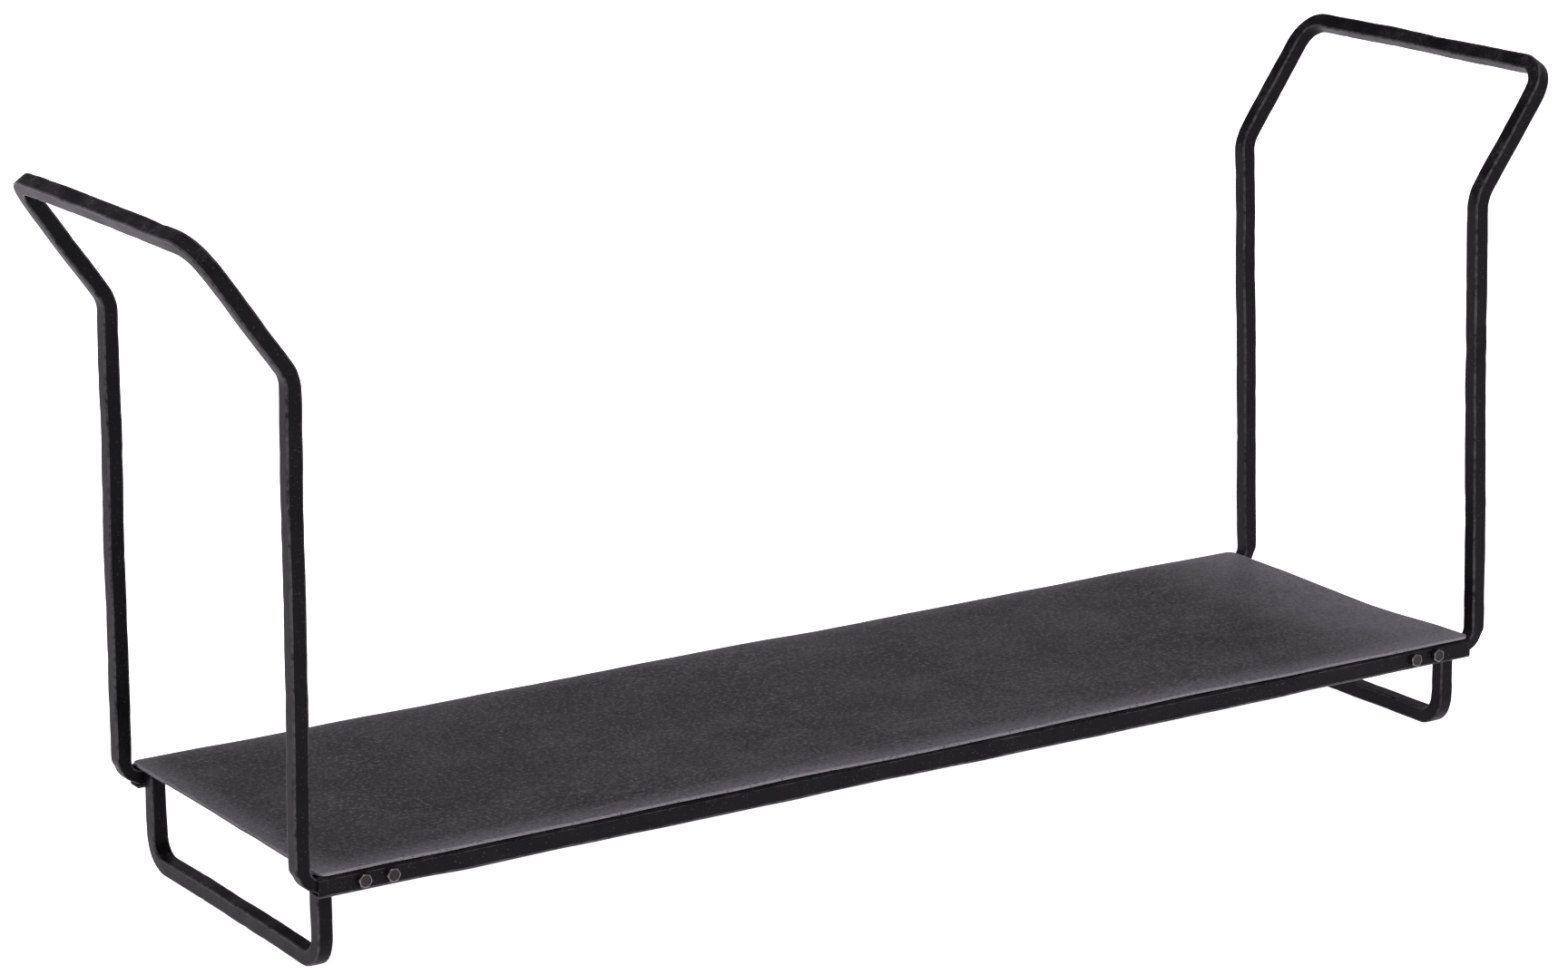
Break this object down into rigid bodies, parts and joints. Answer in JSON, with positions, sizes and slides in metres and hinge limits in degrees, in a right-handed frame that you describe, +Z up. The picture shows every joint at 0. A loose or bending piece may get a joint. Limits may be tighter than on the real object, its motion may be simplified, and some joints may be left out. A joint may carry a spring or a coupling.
{
  "type": "firewood log rack",
  "caption": "Long low firewood rack: a flat dark steel shelf on two channel rails, with a bent square-bar handle rising and leaning out at each end and a bar foot under each end.",
  "frame": {"origin": "on the floor, under the middle of the shelf", "axes": "+X along the rails to the right-hand handle, +Y to the back, +Z up"},
  "size_m": [1.2722, 0.3422, 0.5782],
  "materials": {
    "bar": "satin black paint over square steel bar, slightly uneven from the forge",
    "rail": "satin black paint over folded steel channel",
    "sheet": "matt charcoal with a fine grain and cloudy patches",
    "fastener": "burnished dark steel"
  },
  "bodies": {
    "root": {"shelf_plate": "sheet", "front_rail": "rail", "back_rail": "rail", "left_handle": "bar", "left_foot": "bar", "right_handle": "bar", "right_foot": "bar", "bolt_front_left_outer": "fastener", "washer_front_left_outer": "fastener", "nut_front_left_outer": "fastener", "bolt_front_left_inner": "fastener", "washer_front_left_inner": "fastener", "nut_front_left_inner": "fastener", "bolt_front_right_outer": "fastener", "washer_front_right_outer": "fastener", "nut_front_right_outer": "fastener", "bolt_front_right_inner": "fastener", "washer_front_right_inner": "fastener", "nut_front_right_inner": "fastener", "bolt_back_left_outer": "fastener", "washer_back_left_outer": "fastener", "nut_back_left_outer": "fastener", "bolt_back_left_inner": "fastener", "washer_back_left_inner": "fastener", "nut_back_left_inner": "fastener", "bolt_back_right_outer": "fastener", "washer_back_right_outer": "fastener", "nut_back_right_outer": "fastener", "bolt_back_right_inner": "fastener", "washer_back_right_inner": "fastener", "nut_back_right_inner": "fastener"}
  },
  "joints": []
}
